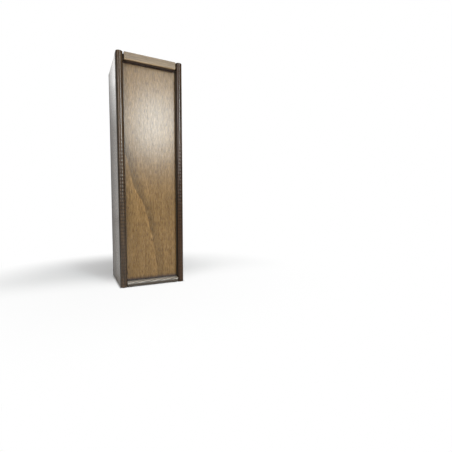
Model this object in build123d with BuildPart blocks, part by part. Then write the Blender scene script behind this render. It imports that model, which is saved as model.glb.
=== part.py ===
from build123d import *

import os

# A wooden box for one bottle of wine, standing on its end, with a lid that slides up and out of
# grooves in the two long side boards. The sides run the full height and have a half-round front
# edge; the two end boards butt between them and are glued and bradded. A plywood back sits in
# rebates. The lid is a thin plywood panel with a solid batten across its top as a pull.
#
# All sizes are in millimetres. The origin is the centre of the footprint, +Z is up and the lid
# faces -Y.

# ---- Overall size ------------------------------------------------------------------------------
box_height = 350.0
box_width = 100.0
box_depth = 100.0

# ---- Boards ------------------------------------------------------------------------------------
side_thickness = 10.0
end_thickness = 8.0
back_thickness = 4.0
back_edge_radius = 3.0  # rounding of each side board's outer rear edge
end_ease = 0.8  # sanded rounding of the half-round edge at the two ends of a side board
board_ease = 0.5  # sanded rounding of the top board's front edges

# ---- Sliding lid -------------------------------------------------------------------------------
lid_thickness = 4.0
lid_recess = 10.0  # from the crest of the side boards back to the lid's face
groove_depth = 5.0  # lid groove in each side board
sill_groove_depth = 4.0  # groove in the bottom board that takes the lid's lower edge
face_clearance = 0.3  # between the lid and each wall of its groove
edge_clearance = 0.5  # between the lid and the bottom of each side groove
sill_clearance = 0.3  # between the closed lid and the bottom of the sill groove
lead_in = 0.8  # bevel on the lid's lower corners, which finds the groove
batten_height = 11.8
batten_end_gap = 1.2  # between each end of the batten and the side board
batten_set_back = 0.3  # from the crest of the side boards to the batten's face
batten_edge_radius = 1.5

# ---- Back panel --------------------------------------------------------------------------------
rebate_width = 5.0
glue_gap = 0.1  # play between the panel's long edges and the rebates

# ---- Brads -------------------------------------------------------------------------------------
# Nails of flat wire with a slight T-shaped head and a chisel point, shot in below the surface.
brad_width = 1.2
brad_thickness = 1.0
brad_head_width = 2.0
brad_head_height = 0.6
brad_point_length = 1.5
brad_play = 0.02  # round each brad in its hole
brad_set = 0.5  # how far each head is sunk below the surface
side_brad_length = 25.0
back_brad_length = 16.0
batten_brad_length = 11.0
side_brad_count = 3  # along each end of a side board
side_brad_spacing = 30.0
side_brad_offset = 6.0  # the row in a side board is this far behind the middle of the box
back_brad_count = 5  # down each long edge of the back panel
back_brad_inset = 25.0  # from each end of the box to the nearest brad in a long edge
back_end_brad_spacing = 24.0  # between the two brads in each end board
batten_brad_count = 3
batten_brad_spacing = 28.0

# ---- Places that follow from the sizes above -----------------------------------------------------
outer_x = box_width / 2
inner_x = outer_x - side_thickness
inner_width = 2 * inner_x
front_y = -box_depth / 2
rear_y = box_depth / 2
back_inner_y = rear_y - back_thickness
lid_front_y = front_y + lid_recess
lid_rear_y = lid_front_y + lid_thickness
side_round = side_thickness / 2
end_round = end_thickness / 2
ceiling_z = box_height - end_thickness
lid_width = inner_width + 2 * (groove_depth - edge_clearance)
lid_bottom_z = end_thickness - sill_groove_depth + sill_clearance
back_width = inner_width + 2 * (rebate_width - glue_gap)
brad_row_x = inner_x + rebate_width / 2

front_to_back = (Align.CENTER, Align.MIN, Align.MIN)


def row(count, spacing, middle=0.0):
    """Evenly spaced places along a line, about its middle."""
    return [middle + (i - (count - 1) / 2) * spacing for i in range(count)]


def facing(origin, outward):
    """A place on a surface: its Z axis points out of the surface and its X axis up the box."""
    return Plane(origin=origin, x_dir=(0, 0, 1), z_dir=outward).location


# ---- Where the brads go in -----------------------------------------------------------------------
end_heights = (end_thickness / 2, box_height - end_thickness / 2)
side_brad_depths = row(side_brad_count, side_brad_spacing, side_brad_offset)
back_brad_pitch = (box_height - 2 * back_brad_inset) / (back_brad_count - 1)


def side_brad_places(hand, heights):
    """Places in the outer face of a side board: hand is -1 for the left and 1 for the right."""
    return [
        facing((hand * outer_x, y, z), (hand, 0, 0)) for z in heights for y in side_brad_depths
    ]


def back_brad_places(columns, heights):
    """Places in the outer face of the back panel."""
    return [facing((x, rear_y, z), (0, 1, 0)) for x in columns for z in heights]


edge_heights = row(back_brad_count, back_brad_pitch, box_height / 2)
end_columns = row(2, back_end_brad_spacing)
left_edge_places = back_brad_places([-brad_row_x], edge_heights)
right_edge_places = back_brad_places([brad_row_x], edge_heights)
back_panel_places = (
    left_edge_places + right_edge_places + back_brad_places(end_columns, end_heights)
)
batten_places = [
    facing((x, lid_rear_y, box_height - batten_height / 2), (0, 1, 0))
    for x in row(batten_brad_count, batten_brad_spacing)
]


# ---- Brad and hole -------------------------------------------------------------------------------
def brad(length, head_top=-brad_set, play=0.0):
    """One brad, driven down from the surface at Z = 0, or its hole where there is play."""
    head_bottom = -brad_set - brad_head_height - play
    tip = -brad_set - length - play
    with BuildPart() as solid:
        with BuildSketch(Plane.XZ) as half_outline:
            with BuildLine():
                Polyline(
                    (0, head_top),
                    (brad_head_width / 2 + play, head_top),
                    (brad_head_width / 2 + play, head_bottom),
                    (brad_width / 2 + play, head_bottom),
                    (brad_width / 2 + play, tip + brad_point_length),
                    (0, tip),
                    close=True,
                )
            make_face()
            mirror(about=Plane.YZ)
        extrude(amount=brad_thickness / 2 + play, both=True)
    return solid.part


side_brad = brad(side_brad_length)
back_brad = brad(back_brad_length)
batten_brad = brad(batten_brad_length)
side_brad_hole = brad(side_brad_length, 0, brad_play)
back_brad_hole = brad(back_brad_length, 0, brad_play)
batten_brad_hole = brad(batten_brad_length, 0, brad_play)

# ---- Side boards ---------------------------------------------------------------------------------
# One moulded section from end to end: half-round front edge, groove for the lid, rebate for the
# back and a rounded outer rear edge.
with BuildPart() as right_side:
    with BuildSketch() as side_section:
        with BuildLine():
            rebate_x = inner_x + rebate_width
            Line((outer_x, front_y + side_round), (outer_x, rear_y - back_edge_radius))
            RadiusArc(
                (outer_x, rear_y - back_edge_radius),
                (outer_x - back_edge_radius, rear_y),
                -back_edge_radius,
            )
            Polyline(
                (outer_x - back_edge_radius, rear_y),
                (rebate_x, rear_y),
                (rebate_x, back_inner_y),
                (inner_x, back_inner_y),
                (inner_x, front_y + side_round),
            )
            ThreePointArc(
                (inner_x, front_y + side_round),
                (inner_x + side_round, front_y),
                (outer_x, front_y + side_round),
            )
        make_face()
        with Locations((inner_x, lid_front_y - face_clearance)):
            Rectangle(
                groove_depth,
                lid_thickness + 2 * face_clearance,
                align=Align.MIN,
                mode=Mode.SUBTRACT,
            )
    extrude(amount=box_height)
    end_edges = [
        edge
        for edge in edges().filter_by(GeomType.CIRCLE)
        if edge.center().Y < front_y + side_round
    ]
    fillet(end_edges, end_ease)
    with Locations(*side_brad_places(1, end_heights)):
        add(side_brad_hole, mode=Mode.SUBTRACT)
    with Locations(*right_edge_places):
        add(back_brad_hole, mode=Mode.SUBTRACT)
right_side.part.label = "right_side"

with BuildPart() as left_side:
    mirror(right_side.part, about=Plane.YZ)
left_side.part.label = "left_side"

# ---- Bottom board --------------------------------------------------------------------------------
# The sill: its half-round front edge shows below the lid, whose lower edge drops into its groove.
with BuildPart() as bottom_board:
    with BuildSketch(Plane.YZ.offset(-inner_x)) as sill_section:
        with BuildLine():
            Polyline(
                (front_y + end_round, 0),
                (back_inner_y, 0),
                (back_inner_y, end_thickness),
                (front_y + end_round, end_thickness),
            )
            ThreePointArc(
                (front_y + end_round, end_thickness),
                (front_y, end_round),
                (front_y + end_round, 0),
            )
        make_face()
        with Locations((lid_front_y - face_clearance, end_thickness)):
            Rectangle(
                lid_thickness + 2 * face_clearance,
                sill_groove_depth,
                align=(Align.MIN, Align.MAX),
                mode=Mode.SUBTRACT,
            )
    extrude(amount=inner_width)
    with Locations(*side_brad_places(-1, end_heights[:1]), *side_brad_places(1, end_heights[:1])):
        add(side_brad_hole, mode=Mode.SUBTRACT)
    with Locations(*back_brad_places(end_columns, end_heights[:1])):
        add(back_brad_hole, mode=Mode.SUBTRACT)
bottom_board.part.label = "bottom_board"

# ---- Top board -----------------------------------------------------------------------------------
# Shorter from front to back than the bottom board, so that the lid passes in front of it.
with BuildPart() as top_board:
    with Locations((0, lid_rear_y + face_clearance, ceiling_z)):
        Box(
            inner_width,
            back_inner_y - lid_rear_y - face_clearance,
            end_thickness,
            align=front_to_back,
        )
    front_edges = edges().filter_by(Axis.X).group_by(Axis.Y)[0]
    fillet(front_edges, board_ease)
    with Locations(*side_brad_places(-1, end_heights[1:]), *side_brad_places(1, end_heights[1:])):
        add(side_brad_hole, mode=Mode.SUBTRACT)
    with Locations(*back_brad_places(end_columns, end_heights[1:])):
        add(back_brad_hole, mode=Mode.SUBTRACT)
top_board.part.label = "top_board"

# ---- Back panel ----------------------------------------------------------------------------------
with BuildPart() as back_panel:
    with Locations((0, back_inner_y, 0)):
        Box(back_width, back_thickness, box_height, align=front_to_back)
    with Locations(*back_panel_places):
        add(back_brad_hole, mode=Mode.SUBTRACT)
back_panel.part.label = "back_panel"

# ---- Lid panel -----------------------------------------------------------------------------------
with BuildPart() as lid_panel:
    with BuildSketch(Plane.YZ.offset(-lid_width / 2)) as lid_section:
        with Locations((lid_front_y, lid_bottom_z)):
            Rectangle(lid_thickness, box_height - lid_bottom_z, align=Align.MIN)
        chamfer(vertices().group_by(Axis.Y)[0], lead_in)
    extrude(amount=lid_width)
    with Locations(*batten_places):
        add(batten_brad_hole, mode=Mode.SUBTRACT)
lid_panel.part.label = "lid_panel"

# ---- Lid batten ----------------------------------------------------------------------------------
with BuildPart() as lid_batten:
    batten_front_y = front_y + batten_set_back
    with Locations((0, batten_front_y, box_height - batten_height)):
        Box(
            inner_width - 2 * batten_end_gap,
            lid_front_y - batten_front_y,
            batten_height,
            align=front_to_back,
        )
    fillet(faces().sort_by(Axis.Y)[0].edges(), batten_edge_radius)
    with Locations(*batten_places):
        add(batten_brad_hole, mode=Mode.SUBTRACT)
lid_batten.part.label = "lid_batten"


# ---- Brads, each group in one piece's wood -------------------------------------------------------
with BuildPart() as left_side_brads:
    with Locations(*side_brad_places(-1, end_heights)):
        add(side_brad)
left_side_brads.part.label = "left_side_brads"

with BuildPart() as right_side_brads:
    with Locations(*side_brad_places(1, end_heights)):
        add(side_brad)
right_side_brads.part.label = "right_side_brads"

with BuildPart() as back_panel_brads:
    with Locations(*back_panel_places):
        add(back_brad)
back_panel_brads.part.label = "back_panel_brads"

with BuildPart() as lid_batten_brads:
    with Locations(*batten_places):
        add(batten_brad)
lid_batten_brads.part.label = "lid_batten_brads"

# ---- Files ---------------------------------------------------------------------------------------
os.makedirs("parts", exist_ok=True)
for piece in (
    left_side,
    right_side,
    bottom_board,
    top_board,
    back_panel,
    lid_panel,
    lid_batten,
    left_side_brads,
    right_side_brads,
    back_panel_brads,
    lid_batten_brads,
):
    export_step(piece.part, f"parts/{piece.part.label}.step")
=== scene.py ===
# %% [markdown]
# # A wooden box for a bottle of wine
#
# The box stands on its end. Two side boards with half-round front edges, two end boards and a
# plywood back make the case, and a plywood lid with a batten across its top slides up and out of
# the grooves in the sides. The packed model gives every board's place and size. This lesson makes
# each board again as a finely worked mesh, gives it stained and lacquered wood, and lights it.
#
# The first cell loads the frame. Its corners are kept at once, because they are the box that
# everything made here has to stay inside.

from math import pi, radians, sin

import bmesh
import bpy
from mathutils import Matrix, Vector


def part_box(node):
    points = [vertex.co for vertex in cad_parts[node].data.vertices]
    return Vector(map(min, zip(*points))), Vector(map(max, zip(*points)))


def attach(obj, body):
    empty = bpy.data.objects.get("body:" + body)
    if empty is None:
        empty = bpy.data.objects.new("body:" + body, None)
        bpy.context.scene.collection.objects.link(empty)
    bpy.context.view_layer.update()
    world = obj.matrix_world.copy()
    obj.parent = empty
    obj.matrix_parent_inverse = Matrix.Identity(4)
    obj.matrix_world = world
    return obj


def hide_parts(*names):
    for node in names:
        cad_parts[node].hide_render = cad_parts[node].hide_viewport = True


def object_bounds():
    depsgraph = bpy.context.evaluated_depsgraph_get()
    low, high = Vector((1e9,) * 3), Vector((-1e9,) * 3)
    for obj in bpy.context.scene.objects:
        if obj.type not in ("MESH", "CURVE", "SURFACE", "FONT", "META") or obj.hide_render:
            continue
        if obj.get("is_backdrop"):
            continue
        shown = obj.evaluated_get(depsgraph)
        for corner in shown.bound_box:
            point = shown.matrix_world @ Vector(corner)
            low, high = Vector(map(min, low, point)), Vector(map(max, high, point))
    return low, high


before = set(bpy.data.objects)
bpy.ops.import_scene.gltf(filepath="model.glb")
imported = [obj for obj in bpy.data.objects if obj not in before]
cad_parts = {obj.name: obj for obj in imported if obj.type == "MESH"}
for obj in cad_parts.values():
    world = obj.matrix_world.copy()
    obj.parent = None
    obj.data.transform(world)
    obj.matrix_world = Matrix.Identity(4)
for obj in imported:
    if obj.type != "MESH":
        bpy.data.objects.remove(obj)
cad_low, cad_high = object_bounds()
MM = 0.001


def in_mm(lengths, digits=1):
    """Lengths in metres as rounded millimetres, for printing."""
    return [round(length / MM, digits) for length in lengths]


print("frame:", sorted(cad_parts))
print("box, mm:", in_mm(cad_high - cad_low))

# %% [markdown]
# ## The camera
#
# The photograph was taken from in front of the box and a little to its left, at about a third of
# its height, with a wide lens close by: that is why the side board's far edge looks so much
# shorter. The place was found by fitting the box's own corners and edges to the photograph, so it
# is written here as a place and three turns. The camera comes first, because every choice of
# detail after it depends on how large a millimetre is in the picture.

# %% Camera
camera_place = Vector((-111.7, -525.0, 125.1)) * MM
camera_turn_right = radians(26.77)
camera_tilt_down = radians(3.82)
camera_roll = radians(0.08)
lens_mm = 24.16
sensor_mm = 36.0

camera_data = bpy.data.cameras.new("photo_view")
camera_data.lens = lens_mm
camera_data.sensor_width = sensor_mm
camera = bpy.data.objects.new("photo_view", camera_data)
bpy.context.scene.collection.objects.link(camera)
camera.location = camera_place
camera.rotation_euler = (
    Matrix.Rotation(-camera_turn_right, 3, "Z")
    @ Matrix.Rotation(pi / 2 - camera_tilt_down, 3, "X")
    @ Matrix.Rotation(camera_roll, 3, "Z")
).to_euler()
bpy.context.scene.camera = camera
print("camera, mm:", in_mm(camera_place), "lens", lens_mm, "mm")

# %% [markdown]
# ## Sizes read from the frame
#
# Nothing is measured twice: the boards' boxes in the frame say where each one starts and ends.
# What a box can't say, such as the play of the lid in its groove, is named later, where it is
# first needed.

# %% Sizes
side_low, side_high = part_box("right_side")
sill_low, sill_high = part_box("bottom_board")
top_low, top_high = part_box("top_board")
back_low, back_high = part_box("back_panel")
lid_low, lid_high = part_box("lid_panel")
batten_low, batten_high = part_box("lid_batten")

inner_x, outer_x = side_low.x, side_high.x
rear_y = cad_high.y
side_thickness = outer_x - inner_x
board_length = side_high.z - side_low.z
print("side board, mm:", in_mm(side_high - side_low))
print("lid panel, mm:", in_mm(lid_high - lid_low))

# %% [markdown]
# ## Working on a mesh by place
#
# By hand one clicks on an edge or a face. A script has no mouse, so it picks by place instead:
# every element that passes a test is selected and the rest are not. Operators act on all that is
# selected, so each step starts by deselecting everything.

# %% Picking
X, Y, Z = 0, 1, 2
TINY = 1e-6


def take_up(piece, *others):
    """Makes a piece the active object, with only it and the others selected."""
    bpy.ops.object.select_all(action="DESELECT")
    for each in (piece, *others):
        each.select_set(True)
    bpy.context.view_layer.objects.active = piece


def pick(kind, test):
    """In edit mode, selects only the vertices, edges or faces that pass the test."""
    bpy.ops.mesh.select_mode(type=kind)
    bpy.ops.mesh.select_all(action="DESELECT")
    mesh = bmesh.from_edit_mesh(bpy.context.object.data)
    elements = {"VERT": mesh.verts, "EDGE": mesh.edges, "FACE": mesh.faces}[kind]
    for element in elements:
        if test(element):
            element.select_set(True)
    bmesh.update_edit_mesh(bpy.context.object.data)


def span(edge, axis):
    """How far an edge runs along an axis."""
    return abs(edge.verts[0].co[axis] - edge.verts[1].co[axis])


print("two places count as one within", TINY / MM, "mm")

# %% [markdown]
# ## A flat section
#
# Every board starts as its cross-section, one flat rectangle, and the joiner's cuts are made in
# it while it is flat. The alternative is to cut a finished board with Booleans, but they leave
# long thin faces that shade badly along a rounded edge. A notch is cut by slicing the rectangle
# along the notch's four sides and deleting what lies between them.

# %% Cutting a section
level_degrees = 1


def start_section(name, low, high, along):
    """A board's cross-section as one flat face, at the low end of the board's length."""
    bpy.ops.object.select_all(action="DESELECT")
    centre, size = (low + high) / 2, high - low
    axis = "XYZ".index(along)
    centre[axis], size[axis] = low[axis], 1.0
    turn = (0, pi / 2, 0) if axis == X else (0, 0, 0)
    bpy.ops.mesh.primitive_plane_add(size=1, location=centre, rotation=turn)
    bpy.ops.transform.resize(value=tuple(size))
    bpy.ops.object.transform_apply(location=True, rotation=True, scale=True)
    board = bpy.context.object
    board.name = board.data.name = name
    bpy.ops.object.mode_set(mode="EDIT")
    return board


def cut_notch(axes, low, high):
    """Takes the rectangle between two corners out of the section, as a moulding cutter does."""
    limits = list(zip(axes, low, high))

    def inside(face):
        centre = face.calc_center_median()
        return all(start < centre[axis] < end for axis, start, end in limits)

    for axis, start, end in limits:
        for place in (start, end):
            bpy.ops.mesh.select_all(action="SELECT")
            point, normal = Vector((0, 0, 0)), Vector((0, 0, 0))
            point[axis], normal[axis] = place, 1
            bpy.ops.mesh.bisect(plane_co=point, plane_no=normal)
    pick("FACE", inside)
    bpy.ops.mesh.delete(type="FACE")
    bpy.ops.mesh.select_all(action="SELECT")
    bpy.ops.mesh.dissolve_limited(angle_limit=radians(level_degrees))


groove_play = 0.3 * MM
groove_y = (lid_low.y - groove_play, lid_high.y + groove_play)
print("the lid's groove runs from", *in_mm(groove_y), "mm, front to rear")

# %% [markdown]
# ## From section to board
#
# The corners of the flat section are rounded by bevelling their vertices. Then the section is
# pulled out to the board's length, and the rims of its two ends are eased, as sandpaper does.
# Bevelling the edges of a finished board would work too, but a vertex of the section is easier to
# find than a long edge among many.

# %% Rounding and pulling out
sanded = 0.4 * MM


def round_corner(axes, place, radius, steps):
    """Rounds the corner of the section at that place."""
    pick("VERT", lambda vert: all(abs(vert.co[axis] - at) < TINY for axis, at in zip(axes, place)))
    bpy.ops.mesh.bevel(offset=radius, segments=steps, affect="VERTICES", clamp_overlap=False)


def pull_out(along, length, rim=sanded, rim_steps=2):
    """Pulls the section out to the board's length and sands the rims of its two ends."""
    axis = "XYZ".index(along)
    move = [0, 0, 0]
    move[axis] = length
    bpy.ops.mesh.select_all(action="SELECT")
    bpy.ops.mesh.remove_doubles(threshold=TINY)
    bpy.ops.mesh.select_all(action="SELECT")
    bpy.ops.mesh.extrude_region_move(TRANSFORM_OT_translate={"value": move})
    bpy.ops.mesh.select_all(action="SELECT")
    bpy.ops.mesh.normals_make_consistent(inside=False)
    pick("EDGE", lambda edge: span(edge, axis) < TINY)
    bpy.ops.mesh.bevel(offset=rim, segments=rim_steps, affect="EDGES", clamp_overlap=True)


print("rims are sanded by", *in_mm([sanded]), "mm")

# %% [markdown]
# ## Shading a board
#
# A rounding made of narrow faces looks round once its edges are shaded smooth, but the smooth
# shade then spreads over the flat faces beside it. Sharp edges would stop it and show as lines. A
# Weighted Normal modifier lets the large flat faces set the normals along their edges instead, so
# that only the roundings look round.

# %% Shading
smooth_degrees = 35


def keep_flats_flat():
    """Gives the edges of the active board the normals of its large faces."""
    board = bpy.context.object
    board.modifiers.new("flat_faces", "WEIGHTED_NORMAL").keep_sharp = True
    bpy.ops.object.modifier_apply(modifier="flat_faces")


def leave_edit():
    """Back to object mode, with flat faces left flat and rounded ones smooth."""
    bpy.ops.object.mode_set(mode="OBJECT")
    bpy.ops.object.shade_smooth_by_angle(angle=radians(smooth_degrees))
    keep_flats_flat()
    board = bpy.context.object
    print(board.name, "has", len(board.data.polygons), "faces")


print("edges that turn by less than", smooth_degrees, "degrees are shaded smooth")

# %% [markdown]
# ## The side boards
#
# On the real box each side is a board run through a moulder, which cuts the whole section in one
# pass: the half-round front edge, the groove for the lid, the rebate for the back and the rounded
# rear edge. The same order works here. Both front corners are rounded by half the thickness, so
# that they meet in a half round. One more slice just behind it keeps the flat faces flat.

# %% Side boards
groove_end_play = 0.5 * MM
rebate_play = 0.1 * MM
groove_x = lid_high.x + groove_end_play
rebate_x = back_high.x + rebate_play
nose_steps = 12
nose_back = side_low.y + side_thickness / 2
flat_start = nose_back + 0.4 * MM
rear_rounding = 3.0 * MM
rear_steps = 6


def side_board(name, node, hand):
    """One side board in full length. Hand says where it stands: -1 left, 1 right."""
    low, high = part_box(node)
    board = start_section(name, low, high, "Z")
    for depth_x, (start_y, end_y) in ((groove_x, groove_y), (rebate_x, (back_low.y, rear_y))):
        start_x, end_x = sorted((hand * inner_x, hand * depth_x))
        cut_notch((X, Y), (start_x, start_y), (end_x, end_y))
    for edge_x in (inner_x, outer_x):
        round_corner((X, Y), (hand * edge_x, low.y), side_thickness / 2, nose_steps)
    round_corner((X, Y), (hand * outer_x, rear_y), rear_rounding, rear_steps)
    bpy.ops.mesh.select_all(action="SELECT")
    bpy.ops.mesh.bisect(plane_co=(0, flat_start, 0), plane_no=(0, 1, 0))
    pull_out("Z", board_length)
    bpy.ops.object.mode_set(mode="OBJECT")
    return board


side_boards = {}
for node, hand in (("left_side", -1), ("right_side", 1)):
    side_boards[node] = side_board(node + "_board", node, hand)
    print(side_boards[node].name, "has", len(side_boards[node].data.polygons), "faces")

# %% [markdown]
# ## Where the knife marks lie
#
# Along the round edges the photograph shows a row of faint beads, a few millimetres apart and
# strongest round the middle of the height. They are the marks of a moulder fed a little too fast:
# each pass of a knife leaves one shallow scallop. They could be painted or left to a bump, but
# they catch the light, so they are made as shape. First come their sizes, and a sum that says how
# strong they are at any height.

# %% Sizes of the knife marks
knife_pitch = 5.4 * MM
knife_depth = 0.27 * MM
knife_phase = {"left_side": 0.0, "right_side": 0.4}
marks_middle = 168 * MM
marks_reach = 62 * MM
trace_below, trace_above = 0.4, 0.1
short_waver = 3.7 * MM
long_waver = 11.3 * MM


def mark_strength(height):
    """How strong the knife marks are at a height: 1 in the middle, fading to a trace."""
    away = (height - marks_middle) / marks_reach
    unevenness = 0.8 + 0.2 * sin(height / short_waver) * sin(height / long_waver)
    trace = trace_below if away < 0 else trace_above
    return unevenness * (trace + (1 - trace) / (1 + away**4))


print("marks on a board:", round(board_length / knife_pitch))
for share in (0.1, 0.5, 0.9):
    print("strength at", share, "of the height:", round(mark_strength(share * board_length), 2))

# %% [markdown]
# ## Slicing the side boards
#
# A Displace modifier will cut the marks, and it can only move vertices that are there. So both
# boards are sliced finely along their length first. Subdivide makes at most 100 cuts at a time,
# so it is done in two rounds. Slicing the round edge alone would save faces, but would leave odd
# corners where the slices stop.

# %% Slicing
slices = (79, 5)


def slice_along(axis, shortest):
    """Cuts every edge longer than shortest along that axis into many short ones."""
    for cuts in slices:
        pick("EDGE", lambda edge: span(edge, axis) > shortest)
        bpy.ops.mesh.subdivide(number_cuts=cuts)
        shortest /= cuts + 1


for board in side_boards.values():
    take_up(board)
    bpy.ops.object.mode_set(mode="EDIT")
    slice_along(Z, board_length / 2)
    leave_edit()

# %% [markdown]
# ## Cutting the knife marks
#
# The Displace modifier reads a banded texture through an empty that squeezes it to one band for
# each mark, and a vertex group keeps it to the round edge and carries the strength. Modelling
# every scallop by hand would give the same shape for far more work.

# %% Knife marks
bands_per_unit = 10 / (2 * pi)
wide_open = 1e4
least_forward = 0.01


def weigh_nose(board):
    """A vertex group on the round edge, as heavy as the marks are deep."""
    nose = board.vertex_groups.new(name="round_edge")
    for vert in board.data.vertices:
        forward = (nose_back - vert.co.y) / (nose_back - side_low.y)
        if forward > least_forward:
            nose.add([vert.index], forward**2 * mark_strength(vert.co.z), "REPLACE")
    return nose


def knife_marks(board, phase):
    """Shallow scallops across the board's round edge."""
    bands = bpy.data.textures.new("knife_bands", type="WOOD")
    bands.wood_type = "BANDS"
    bands.noise_basis_2 = "SIN"
    squeeze = bpy.data.objects.new("band_squeeze", None)
    bpy.context.scene.collection.objects.link(squeeze)
    # So wide across that the bands change only along the board.
    squeeze.scale = (wide_open, wide_open, knife_pitch * bands_per_unit)
    squeeze.location.z = phase * knife_pitch
    bpy.context.view_layer.update()
    cutter = board.modifiers.new("knife_marks", "DISPLACE")
    cutter.texture = bands
    cutter.texture_coords = "OBJECT"
    cutter.texture_coords_object = squeeze
    cutter.vertex_group = weigh_nose(board).name
    cutter.mid_level = 1.0
    cutter.strength = knife_depth
    bpy.ops.object.modifier_apply(modifier=cutter.name)
    board.vertex_groups.clear()
    keep_flats_flat()
    bpy.data.objects.remove(squeeze)
    bpy.data.textures.remove(bands)


for node, board in side_boards.items():
    take_up(board)
    knife_marks(board, knife_phase[node])
    print(board.name, "has marks", *in_mm([knife_depth], 2), "mm deep")

# %% [markdown]
# ## The end boards
#
# The bottom board is the sill that the lid drops into: its front edge is half-round like the
# sides', and a groove behind it takes the lid's lower edge. The top board is plain and stops
# behind the lid, so that the lid can slide past it. Both are pulled out sideways, from a section
# seen from the box's side, because that is how their edges run.

# %% Bottom board and top board
end_rim = 0.25 * MM
top_ease = 0.5 * MM
sill_thickness = sill_high.z - sill_low.z
sill_groove_z = lid_low.z - groove_play

sill = start_section("bottom_board_wood", sill_low, sill_high, "X")
cut_notch((Y, Z), (groove_y[0], sill_groove_z), (groove_y[1], sill_high.z))
for edge_z in (sill_low.z, sill_high.z):
    round_corner((Y, Z), (sill_low.y, edge_z), sill_thickness / 2, nose_steps)
pull_out("X", sill_high.x - sill_low.x, rim=end_rim)
leave_edit()

top = start_section("top_board_wood", top_low, top_high, "X")
for edge_z in (top_low.z, top_high.z):
    round_corner((Y, Z), (top_low.y, edge_z), top_ease, steps=3)
pull_out("X", top_high.x - top_low.x, rim=end_rim)
leave_edit()

# %% [markdown]
# ## Back and lid
#
# The back and the lid are thin plywood, so their shape is simple and their looks come from the
# veneer. Their edges are still eased, because a sharp edge would catch no light. The lid's lower
# edge is bevelled more, to find the groove in the sill.

# %% Back panel and lid panel
ease = 0.3 * MM
lead_in = 0.8 * MM

back = start_section("back_plywood", back_low, back_high, "Z")
for edge_x in (back_low.x, back_high.x):
    round_corner((X, Y), (edge_x, back_high.y), ease, steps=2)
pull_out("Z", back_high.z - back_low.z, rim=ease)
leave_edit()

lid = start_section("lid_plywood", lid_low, lid_high, "X")
for edge_y in (lid_low.y, lid_high.y):
    round_corner((Y, Z), (edge_y, lid_low.z), lead_in, steps=1)
    round_corner((Y, Z), (edge_y, lid_high.z), ease, steps=2)
pull_out("X", lid_high.x - lid_low.x, rim=ease)
leave_edit()

# %% [markdown]
# ## The batten
#
# The batten is the pull: solid wood, glued and nailed across the lid's top, with its front edges
# rounded over for the fingers. It could be a bevelled block, but as a pulled-out section its long
# edges and its two ends get different roundings, as on the real one.

# %% Batten
batten_rounding = 1.5 * MM
batten_rim = 0.7 * MM

batten = start_section("batten_wood", batten_low, batten_high, "X")
for edge_z in (batten_low.z, batten_high.z):
    round_corner((Y, Z), (batten_low.y, edge_z), batten_rounding, steps=6)
pull_out("X", batten_high.x - batten_low.x, rim=batten_rim, rim_steps=3)
leave_edit()

# %% [markdown]
# ## Sunk brads
#
# The boards are held by flat wire brads, set a little below the surface. The frame already holds
# every brad, so their places are read from it and not typed in again: a copy of the brads is
# taken apart into loose pieces, and each piece gives the box of one brad.

# %% Reading the brads
def middle_of(low, high):
    """The middle of a box between two corners."""
    return (low + high) / 2


def brad_boxes(node):
    """The lowest and highest corner of each brad in a node, from a copy taken apart."""
    copy = bpy.data.objects.new("brads_apart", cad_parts[node].data.copy())
    bpy.context.scene.collection.objects.link(copy)
    take_up(copy)
    bpy.ops.object.mode_set(mode="EDIT")
    bpy.ops.mesh.select_all(action="SELECT")
    bpy.ops.mesh.remove_doubles(threshold=TINY)
    bpy.ops.mesh.separate(type="LOOSE")
    bpy.ops.object.mode_set(mode="OBJECT")
    boxes = []
    for brad in list(bpy.context.selected_objects):
        places = [vert.co for vert in brad.data.vertices]
        low, high = (
            Vector([end(place[axis] for place in places) for axis in (X, Y, Z)])
            for end in (min, max)
        )
        boxes.append((low, high))
        bpy.data.meshes.remove(brad.data)
    return sorted(boxes, key=lambda box: tuple(box[0]))


nailed = (
    ("left_side_brads", side_boards["left_side"], X, -outer_x),
    ("right_side_brads", side_boards["right_side"], X, outer_x),
    ("back_panel_brads", back, Y, back_high.y),
    ("lid_batten_brads", lid, Y, lid_high.y),
)
brads = {node: brad_boxes(node) for node, *_ in nailed}
for node, boxes in brads.items():
    print(node, len(boxes), "brads, the first, mm:", in_mm(boxes[0][1] - boxes[0][0]))

# %% [markdown]
# ## Where the pits go
#
# A pit is as wide as the brad's head and reaches from it to the board's surface. A brad can point
# either way along its axis, so the end that is nearer the surface is taken for its head.

# %% Places of the pits
def pits_over(boxes, axis, surface):
    """The pit over each brad, from its head to the board's surface."""
    pits = []
    for low, high in boxes:
        low, high = low.copy(), high.copy()
        head = high[axis] if surface > middle_of(low, high)[axis] else low[axis]
        low[axis], high[axis] = sorted((head, surface))
        pits.append((low, high))
    return pits


pits = {node: pits_over(brads[node], axis, surface) for node, _, axis, surface in nailed}
for node, places in pits.items():
    print(node, len(places), "pits, the first, mm:", in_mm(places[0][1] - places[0][0], 2))

# %% [markdown]
# ## Cutting the pits
#
# Painted dots would do from afar, but from close by a real pit has an edge that catches light, so
# it is cut. A block stands in every pit and reaches out of the surface, the blocks of a board are
# joined, and one Boolean modifier takes them all out of the board at once.

# %% Cutting the pits
def box_at(name, low, high):
    """A block between two corners, as a start for something finer."""
    bpy.ops.object.select_all(action="DESELECT")
    bpy.ops.mesh.primitive_cube_add(size=1, location=middle_of(low, high))
    block = bpy.context.object
    block.name = block.data.name = name
    block.scale = high - low
    bpy.ops.object.transform_apply(location=True, rotation=True, scale=True)
    return block


def join_all(pieces, name):
    """The pieces as one object with that name."""
    take_up(*pieces)
    bpy.ops.object.join()
    pieces[0].name = pieces[0].data.name = name
    return pieces[0]


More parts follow.
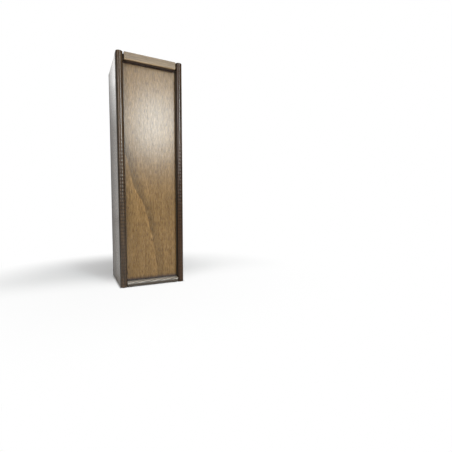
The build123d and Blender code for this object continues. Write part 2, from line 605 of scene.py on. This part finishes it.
def cut_pits(board, places, axis, surface):
    """Cuts every pit out of the board at once."""
    blocks = []
    for low, high in places:
        low, high = low.copy(), high.copy()
        depth = high[axis] - low[axis]
        if surface > middle_of(low, high)[axis]:
            high[axis] += depth
        else:
            low[axis] -= depth
        blocks.append(box_at("pit", low, high))
    cutter = join_all(blocks, "pits")
    take_up(board)
    pit_cut = board.modifiers.new("pits", "BOOLEAN")
    pit_cut.operation = "DIFFERENCE"
    pit_cut.solver = "EXACT"
    pit_cut.object = cutter
    bpy.ops.object.modifier_apply(modifier="pits")
    bpy.data.meshes.remove(cutter.data)
    keep_flats_flat()


for node, board, axis, surface in nailed:
    cut_pits(board, pits[node], axis, surface)
    print(board.name, "has", len(board.data.polygons), "faces after its pits")

# %% [markdown]
# ## Putty in the pits
#
# The pits are filled with putty, which shrinks a little as it dries: a plug with eased rims and a
# slightly dished face. It is modelled once for each board, in the first pit, and copied to the
# others, each copy with its own mesh. All plugs of a board are one object.

# %% Putty
plug_play = 0.03 * MM
plug_ease = 0.05 * MM
dish_step = 0.15 * MM
dish_depth = 0.06 * MM
plug_smooth_degrees = 50


def putty_plug(low, high, axis, surface):
    """One plug: a block in the pit with eased rims, its outer face inset and pressed in."""
    play = Vector([0 if number == axis else plug_play for number in (X, Y, Z)])
    plug = box_at("plug", low + play, high - play)
    inward = Vector((0, 0, 0))
    inward[axis] = dish_depth if surface < middle_of(low, high)[axis] else -dish_depth

    def at_surface(face):
        return abs(face.calc_center_median()[axis] - surface) < TINY

    bpy.ops.object.mode_set(mode="EDIT")
    pick("FACE", at_surface)
    bpy.ops.mesh.bevel(offset=plug_ease, segments=2, affect="EDGES")
    pick("FACE", at_surface)
    for press in (inward, inward / 2):
        bpy.ops.mesh.inset(thickness=dish_step)
        bpy.ops.transform.translate(value=press)
    bpy.ops.object.mode_set(mode="OBJECT")
    bpy.ops.object.shade_smooth_by_angle(angle=radians(plug_smooth_degrees))
    return plug


def fill_pits(name, places, axis, surface):
    """One plug modelled in the first pit, and a copy of it in every other."""
    first = putty_plug(*places[0], axis, surface)
    plugs = [first]
    for low, _ in places[1:]:
        copy = bpy.data.objects.new("plug", first.data.copy())
        copy.data.transform(Matrix.Translation(low - places[0][0]))
        bpy.context.scene.collection.objects.link(copy)
        plugs.append(copy)
    return join_all(plugs, name)


fillers = {}
for node, _, axis, surface in nailed:
    fillers[node] = fill_pits(node.replace("brads", "filler"), pits[node], axis, surface)
    print(fillers[node].name, "has", len(fillers[node].data.polygons), "faces")

# %% [markdown]
# ## Shader sums
#
# A material is a graph of nodes, but most of it is plain arithmetic. Nodes could be placed one by
# one, as by hand, but a long sum is then hard to read. Here one small class wraps an output
# socket, so that a + b or 1 - mask adds the Math node for it.

# %% Sums on sockets
class Value:
    """An output socket that can be added, multiplied and so on, like a number."""

    def __init__(self, finish, socket):
        self.finish = finish
        self.socket = socket

    def math(self, operation, *values):
        """A Math node with these values on its sockets."""
        return self.finish.node("Math", {"operation": operation}, dict(enumerate(values)))

    def __add__(self, other):
        return self.math("ADD", self, other)

    __radd__ = __add__

    def __sub__(self, other):
        return self.math("SUBTRACT", self, other)

    def __rsub__(self, other):
        return self.math("SUBTRACT", other, self)

    def __mul__(self, other):
        return self.math("MULTIPLY", self, other)

    __rmul__ = __mul__

    def __truediv__(self, other):
        return self.math("DIVIDE", self, other)

    def __pow__(self, other):
        return self.math("POWER", self, other)

    def root(self):
        return self.math("SQRT", self)

    def away(self):
        """How far the value is from 0, on either side."""
        return self.math("ABSOLUTE", self)

    def fraction(self):
        return self.math("FRACT", self)

    def step(self, start, end):
        """0 below start, 1 above end and a smooth rise between. Start may be above end."""
        settings = {"interpolation_type": "SMOOTHSTEP"}
        inputs = {"Value": self, "From Min": start, "From Max": end}
        return self.finish.node("MapRange", settings, inputs)


print("a socket takes + - * / ** and", [name for name in vars(Value) if name[0] != "_"])

# %% [markdown]
# ## A finish in the making
#
# The second class holds the material while its nodes are laid. Its method `node` adds any node:
# its type, its settings and what goes into its sockets. The others are finishes' common parts:
# the place on the piece in millimetres, soft noise, a mix of two colours, a shaded colour and a
# lacquered surface. All patterns read Object coordinates, so they stay where they are when the
# lid slides.

# %% Making a finish
class Finish:
    """A material, or the world, while its nodes are laid."""

    def __init__(self, owner):
        self.owner = owner
        owner.use_nodes = True
        self.tree = owner.node_tree
        self.tree.nodes.clear()

    def node(self, kind, settings=None, inputs=None, output=0):
        """A node of that kind, as the value of one of its outputs if it has any."""
        made = self.tree.nodes.new("ShaderNode" + kind)
        for name, setting in (settings or {}).items():
            setattr(made, name, setting)
        for name, value in (inputs or {}).items():
            if isinstance(value, Value):
                self.tree.links.new(value.socket, made.inputs[name])
            else:
                made.inputs[name].default_value = value
        return Value(self, made.outputs[output]) if made.outputs else None

    def split(self, vector):
        """The three parts of a vector."""
        return [self.node("SeparateXYZ", {}, {"Vector": vector}, output=part) for part in "XYZ"]

    def millimetres(self):
        """The place on the piece as three numbers in millimetres."""
        return self.split(self.shade(1 / MM, self.node("TexCoord", output="Object")))

    def noise(self, place, detail=3.0, roughness=0.55):
        """Soft noise from 0 to 1 whose cells are one unit of the place across."""
        spot = self.node("CombineXYZ", {}, dict(zip("XYZ", place)))
        inputs = {"Vector": spot, "Scale": 1.0, "Detail": detail, "Roughness": roughness}
        return self.node("TexNoise", {}, inputs, output="Fac")

    def mix(self, share, first, second):
        """The first colour where share is 0 and the second where it is 1."""
        # A Mix node's sockets go by number: 0 is the factor, and 6 and 7 are the colours.
        settings = {"data_type": "RGBA", "clamp_factor": True}
        return self.node("Mix", settings, {0: share, 6: first, 7: second}, output=2)

    def shade(self, factor, colour):
        """The colour made lighter or darker, or the vector longer or shorter, by a factor."""
        inputs = {"Vector": colour, "Scale": factor}
        return self.node("VectorMath", {"operation": "SCALE"}, inputs)

    def lacquer(self, colour, roughness, height, bump_depth, more=None):
        """A lacquered surface with its relief, and with more sockets where they are given."""
        relief = {"Height": height, "Distance": bump_depth, "Strength": 1.0}
        inputs = {
            "Base Color": colour,
            "Roughness": roughness,
            "Normal": self.node("Bump", {}, relief, output="Normal"),
            **(more or {}),
        }
        return self.join(self.node("BsdfPrincipled", {}, inputs, output="BSDF"))

    def join(self, surface, kind="Material"):
        """Joins the surface to the output, which finishes the material or the world."""
        self.node("Output" + kind, {}, {"Surface": surface})
        print(self.owner.name, "has", len(self.tree.nodes), "nodes")
        return self.owner


print("a finish knows", [name for name in vars(Finish) if name[0] != "_"])

# %% [markdown]
# ## Colours
#
# A paint chart or a photograph gives a colour as three numbers from 0 to 255, but a shader sums
# light, and the two scales aren't the same. One function turns the first into the second, so that
# colours can be written in the way that one reads them.

# %% Colours
def tone(red, green, blue):
    """A colour as a paint chart gives it, 0 to 255, turned into the light it stands for."""
    parts = []
    for part in (red, green, blue):
        share = part / 255
        parts.append(share / 12.92 if share <= 0.04045 else ((share + 0.055) / 1.055) ** 2.4)
    return (*parts, 1.0)


print("a half on the chart is this much light:", round(tone(128, 128, 128)[0], 3))

# %% [markdown]
# ## Stained solid wood
#
# Wood is a stack of cones seen in section: along a board the year rings run as long lines, and on
# a cut end they are arcs. So the ring pattern is a distance from the tree's centre line, the
# pith, which lies outside the board, and the same sum gives face and end alike. A flat picture of
# grain would break at every edge. Fine fibres and pores are noise drawn out along the grain, and
# stain sinks deeper into pores and late wood, which turns them darker.

# %% Stained solid wood
ring_wander = 8.0
late_rise, late_end = (0.35, 0.95), (0.95, 1.0)
fibre_rise, pore_rise = (0.25, 0.75), (0.56, 0.68)


def solid_wood(name, along, pith, dark, light, ring_width=3.2, seed=0.0, base_roughness=0.15):
    """The start of a stained board's finish: its place, colour, shading, roughness and relief.

    Along is the grain's axis, and pith is where the rings are centred, in mm.
    """
    finish = Finish(bpy.data.materials.new(name))
    x, y, z = finish.millimetres()
    across, through, length = (x, y, z) if along == "Z" else (y, z, x)
    # Each noise has cells of 1 / its factor in mm, so they are drawn out where that is small.
    wander = finish.noise((across * 0.03 + seed, through * 0.03, length * 0.006), 2.0)
    from_pith = ((across - pith[0]) ** 2.0 + (through - pith[1]) ** 2.0).root()
    ring = ((from_pith + wander * ring_wander) / ring_width).fraction()
    latewood = ring.step(*late_rise) * (1.0 - ring.step(*late_end))
    fibre = finish.noise((across * 1.1, through * 1.1 + seed, length * 0.03), 5.0, 0.65)
    pore = finish.noise((across * 2.6, through * 2.6, length * 0.07 + seed), 2.0)
    pore = pore.step(*pore_rise)
    cloud = finish.noise((across * 0.06, through * 0.06, length * 0.015 + seed), 3.0)
    colour = finish.mix(fibre.step(*fibre_rise), dark, light)
    shading = (1.0 - 0.25 * latewood) * (1.0 - 0.35 * pore) * (0.75 + 0.5 * cloud)
    roughness = base_roughness + 0.10 * fibre + 0.10 * pore
    height = 0.5 * fibre - 0.6 * pore + 0.3 * latewood
    return finish, (x, y, z), colour, shading, roughness, height


print("late wood begins at", late_rise[0], "of a ring's width")

# %% [markdown]
# ## Where a side board is darker or paler, and where light is painted
#
# The side boards are darker in the hollows of the knife marks and paler on the outer face just
# behind the round edge. They also carry painted light: a painted dark reflection where the round
# edge meets the outer face, and painted shade in the inner corner beside the lid and along the
# rear edge. Each of these is a mask, 1 where it holds and 0 elsewhere, made from the place on
# the board. They could be painted by hand on a picture, but as sums they fit both boards and any
# size of them.

# %% Masks of a side board
# Places are in mm. The lag and the hollow are shares of one knife mark, and the lean is how far
# the rear side of the painted dark reflection moves back for each mm of height.
nose, rear = nose_back / MM, rear_y / MM
darkening_lag = 0.25
marks_rise, marks_fall = (60.0, 110.0), (130.0, 220.0)
hollow_rise, hollow_fall = (0.0, 0.2), (0.35, 0.55)
tip_fall = (nose - 5.0, nose - 1.5)
quirk_rise, quirk_width = (nose - 3.6, nose - 2.2), 3.0
quirk_ahead, quirk_lean = 2.5, 0.026
corner_x = (inner_x / MM + 0.6, inner_x / MM + 2.2)
corner_rise, corner_fall = (nose - 3.0, nose), (nose + 6.0, nose + 12.0)
rear_rise = (rear - 13.0, rear - 4.0)


def darker_in_marks(y, z, phase):
    """Darker in the hollows of the knife marks, on the tip of the round edge."""
    beat = (z / (knife_pitch / MM) + (phase + darkening_lag)).fraction()
    hollow = beat.step(*hollow_rise) * (1.0 - beat.step(*hollow_fall))
    marked = (0.5 + 0.5 * z.step(*marks_rise)) * (1.0 - 0.85 * z.step(*marks_fall))
    return hollow * marked * (1.0 - y.step(*tip_fall))


def painted_dark_reflection(y, z):
    """Painted dark reflection where the round edge meets the outer face, wider towards the top."""
    behind = y - nose - z * quirk_lean + quirk_ahead
    return y.step(*quirk_rise) * (1.0 - behind.step(0.0, quirk_width))


def painted_shade_beside_lid(x, y):
    """Painted shade in the inner corner between the round edge and the lid."""
    inner_face = 1.0 - x.away().step(*corner_x)
    return inner_face * y.step(*corner_rise) * (1.0 - y.step(*corner_fall))


print("stain stands in the marks from", marks_rise[0], "to", marks_fall[1], "mm up")

# %% [markdown]
# ## The side boards' finish
#
# The wood, the masks and the lacquer come together here. The dark masks darken the wood, the
# paler mask lightens it, and the painted dark reflection and painted shade also dull the lacquer
# over them. The two boards come from different planks, so each has its own pith and tones, and
# the right one has less shine of its own and a top coat on its upper part, which gives its upper
# half the paler gleam.

# %% Side board finish
side_bump = 0.012 * MM
paler_tone = tone(124, 115, 95)
top_coat_rise = (100.0, 230.0)


def side_stain(name, pith, dark, light, seed, phase, specular, top_coat):
    """A side board: darker in the marks, paler at the front, painted shade and dark reflection."""
    finish, (x, y, z), colour, shading, roughness, height = solid_wood(
        name, "Z", pith, dark, light, seed=seed
    )
    front = 1.0 - y.step(nose - 0.8, nose)
    # Paler on the outer face just behind the round edge, fading towards the rear.
    paler = (1.0 - y.step(nose + 5.0, rear)) * (1.0 - front)
    # Painted dark reflection at the round edge's start, and painted shade beside the lid.
    dark_reflection_line, corner = painted_dark_reflection(y, z), painted_shade_beside_lid(x, y)
    # Painted shade along the rear edge.
    rear_edge_shade = y.step(*rear_rise)
    shading = shading * (1.0 - 0.6 * darker_in_marks(y, z, phase)) * (1.0 + 0.6 * paler)
    shading = shading * (1.0 - 0.7 * dark_reflection_line) * (1.0 - 0.95 * corner) * (1.0 - 0.35 * rear_edge_shade)
    roughness = roughness + 0.45 * dark_reflection_line + 0.4 * corner + 0.35 * rear_edge_shade
    roughness = roughness + 0.05 * front + 0.14 * (1.0 - front - paler)
    colour = finish.mix(0.25 * paler, finish.shade(shading, colour), paler_tone)
    coat = {
        "Specular IOR Level": specular,
        "Coat Weight": top_coat * z.step(*top_coat_rise) if top_coat else 0.0,
        "Coat Roughness": 0.25,
    }
    return finish.lacquer(colour, roughness, height, side_bump, coat)


left_tones = tone(48, 35, 22), tone(88, 68, 46)
right_tones = tone(40, 25, 13), tone(76, 52, 30)
dark_board = side_stain(
    "dark_board", (-14, 60), *left_tones,
    seed=0.0, phase=knife_phase["left_side"], specular=0.5, top_coat=0.0,
)
dark_board_right = side_stain(
    "dark_board_right", (20, 48), *right_tones,
    seed=7.3, phase=knife_phase["right_side"], specular=0.275, top_coat=0.6,
)

# %% [markdown]
# ## The end boards' finish
#
# The same stained wood with its grain along X. The sill's upper edge and top are painted paler
# in short slanting streaks, a painted highlight for the light that falls there. A slanting
# saw-tooth gives the streaks, and a little noise makes them uneven. A height limit keeps them off
# the top board, which wears the same finish.

# %% End board finish
end_bump = 0.04 * MM
streak_width = 3.8
streak_seed = 4.6
sill_edge_rise, sill_edge_fall = (4.9, 6.5), (20.0, 22.0)
sill_front_fall = (-38.0, -34.0)
streak_rise, streak_fall = (0.1, 0.35), (0.65, 0.85)


def end_stain(name):
    """The end boards, with a painted highlight in streaks along the sill's upper edge."""
    finish, (x, y, z), colour, shading, roughness, height = solid_wood(
        name, "X", (-30, -42), tone(54, 46, 38), tone(92, 81, 69),
        seed=3.1, base_roughness=0.3,
    )
    wander = finish.noise((x * 0.06, streak_seed, 0.0), 2.0)
    highlight_streak = (((y + z) * 0.8 - x * 0.21) / streak_width + 1.2 * wander).fraction()
    highlight_streak = highlight_streak.step(*streak_rise) * (1.0 - highlight_streak.step(*streak_fall))
    edge = z.step(*sill_edge_rise) * (1.0 - z.step(*sill_edge_fall))
    edge = edge * (1.0 - y.step(*sill_front_fall))
    # Painted highlight: paler slanting streaks on the sill's upper edge and top.
    paler = edge * (0.1 + 0.9 * highlight_streak)
    colour = finish.mix(paler, finish.shade(shading, colour), tone(158, 150, 138))
    return finish.lacquer(colour, roughness, height, end_bump)


dark_end_board = end_stain("dark_end_board")

# %% [markdown]
# ## The batten's finish
#
# The batten has a thinner, lighter stain, so its wood shows more. Its face has painted shade that
# makes it a little darker towards the top, its lower rounded edge has a painted highlight, and its
# underside is painted dark as shade. That painted shade draws the dark line between batten and
# lid. A shadow alone would do it only under one light, so the paint does it under any.

# %% Batten finish
under = batten_low.z / MM
face_shade_rise, edge_highlight_rise = (under + 1.0, under + 8.0), (under + 0.9, under + 2.2)


def batten_finish(name):
    """The batten: the same wood with a thinner stain, painted shade and a painted highlight."""
    finish, (x, y, z), colour, shading, roughness, height = solid_wood(
        name, "X", (-80, 300), tone(103, 83, 58), tone(141, 117, 84),
        ring_width=2.4, seed=5.7, base_roughness=0.3,
    )
    # Painted shade darkens the face towards the top; a painted highlight lights the lower edge.
    shading = shading * (1.0 - 0.12 * z.step(*face_shade_rise)) * (1.45 - 0.45 * z.step(*edge_highlight_rise))
    # Painted shade on the underside, mixed towards a dark tone.
    underside = 1.0 - z.step(under, under + 0.2)
    colour = finish.mix(0.9 * underside, finish.shade(shading, colour), tone(48, 38, 43))
    return finish.lacquer(colour, roughness, height, end_bump)


batten_stain = batten_finish("batten_stain")

# %% [markdown]
# ## The lid's figure
#
# A face veneer is peeled or sliced thin, so its figure is broad and soft. This lid has one clear
# line, where the lighter sapwood meets the heartwood: it enters at the left, a little above the
# middle, and bends down to end just right of the middle at the sill. It could be drawn as a
# curve, but a sum that says how far a place is beside the line also gives the pale band on one
# side and the dusk on the other. Along the batten, the sill and the side boards, which stand in
# front of the lid, it gets painted shade.

# %% Heart line and dark rims
clearness_rise = (50.0, 120.0)
sill_rim = (sill_high.z / MM + 7.0, sill_high.z / MM)
batten_rim_z = (batten_low.z / MM - 3.0, batten_low.z / MM - 0.2)
left_rim = (-inner_x / MM, 3.0 - inner_x / MM)
right_rim = (inner_x / MM - 0.7, inner_x / MM)


def heart_line(finish, x, z):
    """How much lighter or darker the wood is beside the line between sapwood and heartwood."""
    sway = (finish.noise((0.0, 0.0, z * 0.08), 2.0) - 0.5) * 4.0
    # The line leans and curves with the height, and three knees bend it. The steps below are in
    # mm beside the line, and less than 0 is to its left.
    knee = 2.0 * z.step(35.0, 75.0) - 5.5 * z.step(126.0, 154.0) + 5.5 * z.step(160.0, 200.0)
    beside = x - (10.5 - 0.10 * z - 0.00075 * z * z + knee + sway)
    sapwood = beside.step(-24.0, -3.0) * (1.0 - beside.step(-0.6, 0.6))
    edge = beside.step(-4.0, -0.8) * (1.0 - beside.step(-0.6, 0.8))
    dusk = beside.step(-0.6, 1.4) * (1.0 - beside.step(4.0, 17.0))
    clearness = 0.7 + 0.45 * z.step(*clearness_rise)
    return 1.0 + (0.10 * sapwood + 0.18 * edge - 0.28 * dusk) * clearness


def clear_of_painted_shade(x, z):
    """1 on the open lid, less under the painted shade along the sill, batten and side boards."""
    ends = (1.0 - 0.97 * z.step(*sill_rim)) * (1.0 - 0.85 * z.step(*batten_rim_z))
    sides = (1.0 - 0.65 * (1.0 - x.step(*left_rim))) * (1.0 - 0.65 * x.step(*right_rim))
    return ends * sides


print("open lid, mm: across", [round(rim, 1) for rim in (left_rim[1], right_rim[0])])
print("and up", [round(rim, 1) for rim in (sill_rim[0], batten_rim_z[0])])

# %% [markdown]
# ## Stained plywood
#
# Long flecks, fine fibres and pores make the veneer, a little cloudiness makes it uneven, and a
# slow wave in its relief breaks up the gleam as a hand-lacquered sheet does. The lacquer is a
# coat over the wood, and it is stronger on the dense fibres than in the pores: a gleam that
# ignored the grain would look like a sheet of plastic laid over it. Seen from the edge the panel
# is three layers, and the middle one shows dark end grain.

# %% Stained plywood
veneer_bump = 0.05 * MM
figure_rise, gloss_rise, veneer_pore_rise = (0.3, 0.7), (0.35, 0.65), (0.52, 0.64)
core_rise = (0.9, 1.1)
painted_shade_tone = tone(48, 41, 42)


def plywood(name, low_y, high_y, dark, light, seed=0.0, is_lid=True):
    """A stained veneer over a darker core, between the panel's two faces."""
    finish = Finish(bpy.data.materials.new(name))
    x, y, z = finish.millimetres()
    broad = finish.noise((x * 0.22 + seed, y * 0.2, z * 0.012), 2.0)
    fleck = finish.noise((x * 0.7 + seed, y * 0.4, z * 0.03), 3.0, 0.6)
    fine = finish.noise((x * 1.4, y + seed, z * 0.11), 3.0, 0.65)
    pore = finish.noise((x * 1.7 + seed, y, z * 0.12), 2.0).step(*veneer_pore_rise)
    cloud = finish.noise((x * 0.035, y * 0.03 + seed, z * 0.014), 2.0)
    wave = finish.noise((x * 0.09, y * 0.09 + seed, z * 0.05), 1.0)
    figure = 0.2 * broad.step(*figure_rise) + 0.2 * fleck.step(*figure_rise)
    figure = figure + 0.6 * fine.step(*figure_rise)
    colour = finish.mix(figure * (1.0 - pore), dark, light)
    colour = finish.shade(0.78 + 0.30 * cloud, colour)
    if is_lid:
        colour = finish.shade(heart_line(finish, x, z), colour)
        # Painted shade along the sill, the batten and the side boards.
        colour = finish.mix(clear_of_painted_shade(x, z), painted_shade_tone, colour)
    from_faces = [low_y / MM + deep for deep in core_rise]
    to_faces = [high_y / MM - deep for deep in reversed(core_rise)]
    core = y.step(*from_faces) * (1.0 - y.step(*to_faces))
    colour = finish.mix(core, colour, finish.shade(0.55, colour))
    roughness = 0.235 + 0.06 * fine + 0.07 * pore + 0.30 * core
    height = 0.24 * fine + 0.15 * fleck - 0.10 * pore + 0.8 * wave
    coat = {
        "Specular IOR Level": 0.28,
        "Coat Weight": 0.26 + 0.4 * fine.step(*gloss_rise) * (1.0 - 0.7 * pore),
        "Coat Roughness": 0.27,
    }
    return finish.lacquer(colour, roughness, height, veneer_bump, coat)


lid_tones = tone(83, 56, 17), tone(160, 127, 79)
back_tones = tone(100, 76, 40), tone(142, 114, 80)
lid_veneer = plywood("lid_veneer", lid_low.y, lid_high.y, *lid_tones)
back_veneer = plywood(
    "back_veneer", back_low.y, back_high.y, *back_tones, seed=11.0, is_lid=False
)

# %% [markdown]
# ## Steel wire
#
# The brads are sunk below the surface and hardly show, but they are there, so they get drawn
# wire's finish: fine scratches and a light tarnish. Plain grey metal would do as well from afar.

# %% Steel wire
def wire_steel():
    """Bright wire with fine scratches and a light tarnish."""
    finish = Finish(bpy.data.materials.new("wire_steel"))
    x, y, z = finish.millimetres()
    scratch = finish.noise((x * 3.0, y * 3.0, z * 3.0), 4.0, 0.7)
    tarnish = finish.noise((x * 0.4, y * 0.4, z * 0.4), 2.0)
    colour = finish.mix(tarnish, tone(140, 138, 134), tone(176, 174, 170))
    return finish.lacquer(colour, 0.28 + 0.2 * scratch, scratch, 0.01 * MM, {"Metallic": 1.0})


steel = wire_steel()

# %% [markdown]
# ## The putty's finish
#
# Putty is chalky and has no grain. It takes the stain unevenly, so it is mottled, and it stays
# duller than the lacquered wood round it. One function makes a dark putty for the side boards and
# a lighter one for the plywood.

# %% Putty finish
def putty(name, dark, light):
    """Stained putty: mottled and dull."""
    finish = Finish(bpy.data.materials.new(name))
    x, y, z = finish.millimetres()
    mottle = finish.noise((x * 1.2, y * 1.2, z * 1.2), 3.0, 0.6)
    crumb = finish.noise((x * 6.0, y * 6.0, z * 6.0), 2.0)
    colour = finish.mix(mottle.step(0.3, 0.7), dark, light)
    return finish.lacquer(colour, 0.5 + 0.2 * crumb, crumb, 0.02 * MM)


dark_putty = putty("dark_putty", tone(38, 30, 23), tone(66, 53, 41))
light_putty = putty("light_putty", tone(84, 64, 40), tone(118, 94, 64))

# %% [markdown]
# ## Dressing the frame
#
# Each worked piece stands for its plain node and rides with that node's body. The table also
# names the record's finish for each piece, which the loop doesn't use. The putty has no node of
# its own, so it replaces none. The brads are the frame's own, and only get their finish.

# %% Dressing the frame
dressed = (
    (side_boards["left_side"], "left_side", "case", "dark_stained_board", dark_board),
    (side_boards["right_side"], "right_side", "case", "dark_stained_board", dark_board_right),
    (sill, "bottom_board", "case", "dark_stained_board", dark_end_board),
    (top, "top_board", "case", "dark_stained_board", dark_end_board),
    (back, "back_panel", "case", "stained_plywood", back_veneer),
    (lid, "lid_panel", "lid", "stained_plywood", lid_veneer),
    (batten, "lid_batten", "lid", "light_stained_batten", batten_stain),
    (fillers["left_side_brads"], None, "case", "dark_stained_board", dark_putty),
    (fillers["right_side_brads"], None, "case", "dark_stained_board", dark_putty),
    (fillers["back_panel_brads"], None, "case", "stained_plywood", light_putty),
    (fillers["lid_batten_brads"], None, "lid", "stained_plywood", light_putty),
)
for piece, node, body, slot, material in dressed:
    piece.data.materials.clear()
    piece.data.materials.append(material)
    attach(piece, body)
    if node is not None:
        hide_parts(node)

for node in fillers:
    for material_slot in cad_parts[node].material_slots:
        material_slot.material = steel
print(len(dressed), "pieces dressed")

# %% [markdown]
# ## The floor
#
# The box stands on a plain white floor. To the camera the floor glows at strength 1, which is
# white, so that no more light has to fall on the box to get a white picture. Near the box the
# glow gives way to plain matt paint, which catches the box's own soft shadow, most of all behind
# it and to its left. Under the box the floor has no glow at all, and over the first 3 mm round it
# the glow comes back, which leaves a fine dark line where the box meets the floor. Light Path
# tells the camera's rays from those in gloss and in glass. A floor that was simply lit until it
# looked white would wash out the box as well.

# %% Floor
floor_radius = 3.0
matt_reach = (0.16, 0.34)
matt_rear, matt_right = (-0.05, 0.08), (0.0, 0.2)
mirrored_reach = (0.5, 1.1)
cover_rim = 3 * MM

bpy.ops.object.select_all(action="DESELECT")
bpy.ops.mesh.primitive_circle_add(vertices=96, radius=floor_radius, fill_type="NGON")
floor = bpy.context.object
floor.name = "floor"


def rays(finish):
    """1 for what the camera sees itself, and 1 for what is seen in gloss or through glass."""
    ways = ("Is Camera Ray", "Is Glossy Ray", "Is Transmission Ray")
    direct, gloss, glass = (finish.node("LightPath", output=way) for way in ways)
    return direct, gloss + glass


def floor_paint():
    """A floor that is white to the camera, but for matt paint round and under the box."""
    finish = Finish(bpy.data.materials.new("white_sweep"))
    place = finish.node("TexCoord", output="Object")
    reach = finish.node("VectorMath", {"operation": "LENGTH"}, {"Vector": place}, output="Value")
    aside, ahead, _ = finish.split(place)
    direct, mirrored = rays(finish)
    matt = (1.0 - reach.step(*matt_reach)) * (0.15 + 0.85 * ahead.step(*matt_rear))
    matt = matt * (1.0 - 0.6 * aside.step(*matt_right))
    covered = 1.0 - aside.away().step(outer_x, outer_x + cover_rim)
    covered = covered * (1.0 - ahead.away().step(rear_y, rear_y + cover_rim))
    share = direct * (1.0 - 0.95 * matt) * (1.0 - covered)
    share = share + mirrored * 0.3 * reach.step(*mirrored_reach)
    paint = finish.node("BsdfDiffuse", {}, {"Color": tone(230, 230, 230)})
    glow = finish.node("Emission", {}, {"Color": (1, 1, 1, 1), "Strength": 1.0})
    return finish.join(finish.node("MixShader", {}, {0: share, 1: paint, 2: glow}))


floor.data.materials.append(floor_paint())
floor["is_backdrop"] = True

# %% [markdown]
# ## The lights
#
# Satin lacquer shows a light as a pale bloom, so the lights are placed for what the boards throw
# back. The key stands above the camera and a little to the right, and a smaller, cooler soft box
# below it makes the bloom on the upper lid. A wide one overhead lights the whole evenly. A strip
# at each side draws the gleam along a round edge, the right one narrow and warm. Behind the box
# one fill keeps the back readable, and a faint light picks out the rear edge. A single lamp would
# be simpler, but a satin surface shows only what it mirrors, and would stay dark beside the bloom.

# %% Lights
lid_face = (0, -0.04, 0.2)
plain_white = (1.0, 1.0, 1.0)
soft_boxes = (
    ("key_soft_box", (0.16, -1.03, 1.12), lid_face, (0.5, 0.5), 4.8, (0.98, 1.0, 1.0)),
    ("sheen_soft_box", (0.26, -1.08, 0.525), lid_face, (0.15, 0.25), 4.7, (0.89, 0.98, 1.0)),
    ("overhead", (0.0, -0.30, 1.6), (0, 0, 0), (0.9, 0.9), 11.0, plain_white),
    ("strip_left", (-0.78, -0.73, 0.50), (-0.05, -0.05, 0.25), (0.40, 0.5), 3.8, plain_white),
    ("strip_right", (0.50, -0.98, 0.45), (0, -0.05, 0.22), (0.10, 0.6), 1.5, (1.0, 0.90, 0.76)),
    ("back_fill", (0.9, 1.2, 0.9), (0, 0.05, 0.17), (0.8, 0.8), 5.0, plain_white),
    ("rim_soft_box", (-0.2, 1.3, 1.02), (-0.05, 0, 0.3), (0.6, 0.45), 0.45, plain_white),
)


def soft_light(name, place, target, size, watts, colour):
    """A soft box that looks at a place and isn't itself seen."""
    data = bpy.data.lights.new(name, "AREA")
    data.shape = "RECTANGLE"
    data.size, data.size_y = size
    data.energy = watts
    data.color = colour
    lamp = bpy.data.objects.new(name, data)
    bpy.context.scene.collection.objects.link(lamp)
    lamp.location = place
    lamp.rotation_euler = (Vector(target) - Vector(place)).to_track_quat("-Z", "Y").to_euler()
    lamp.visible_camera = False


for soft_box in soft_boxes:
    soft_light(*soft_box)
print(len(soft_boxes), "soft boxes,", round(sum(box[4] for box in soft_boxes), 2), "W in all")

# %% [markdown]
# ## The background
#
# The world is white to the camera and dim as a light, so that the lamps give the box its shape.
# In gloss it shows as a studio does: bright behind the box, which gives the side board its pale
# sheen at a glancing angle, dimmer towards the horizon, and dark behind the camera, which keeps
# the front's own colours deep. A white room all round would wash them out.

# %% Background
backdrop_rise = (0.72, 0.86)
above_horizon = (0.22, 0.34)
ambient = 0.14


def studio_world():
    """White behind the box, dimmer towards the horizon and behind the camera."""
    sky = Finish(bpy.data.worlds.new("studio"))
    _, behind, height = sky.split(sky.node("TexCoord", output="Generated"))
    direct, mirrored = rays(sky)
    backdrop = behind.step(*backdrop_rise) * (0.56 + 0.85 * height.step(*above_horizon))
    strength = direct + mirrored * (0.10 + 0.90 * backdrop)
    strength = strength + (1.0 - direct) * (1.0 - mirrored) * ambient
    glow = sky.node("Background", {}, {"Color": (1, 1, 1, 1), "Strength": strength})
    return sky.join(glow, "World")


bpy.context.scene.world = studio_world()
bpy.context.scene.view_settings.view_transform = "Standard"

# %% Finish
made_low, made_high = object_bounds()
print("grown past the frame, mm:", in_mm(cad_low - made_low, 3), in_mm(made_high - cad_high, 3))
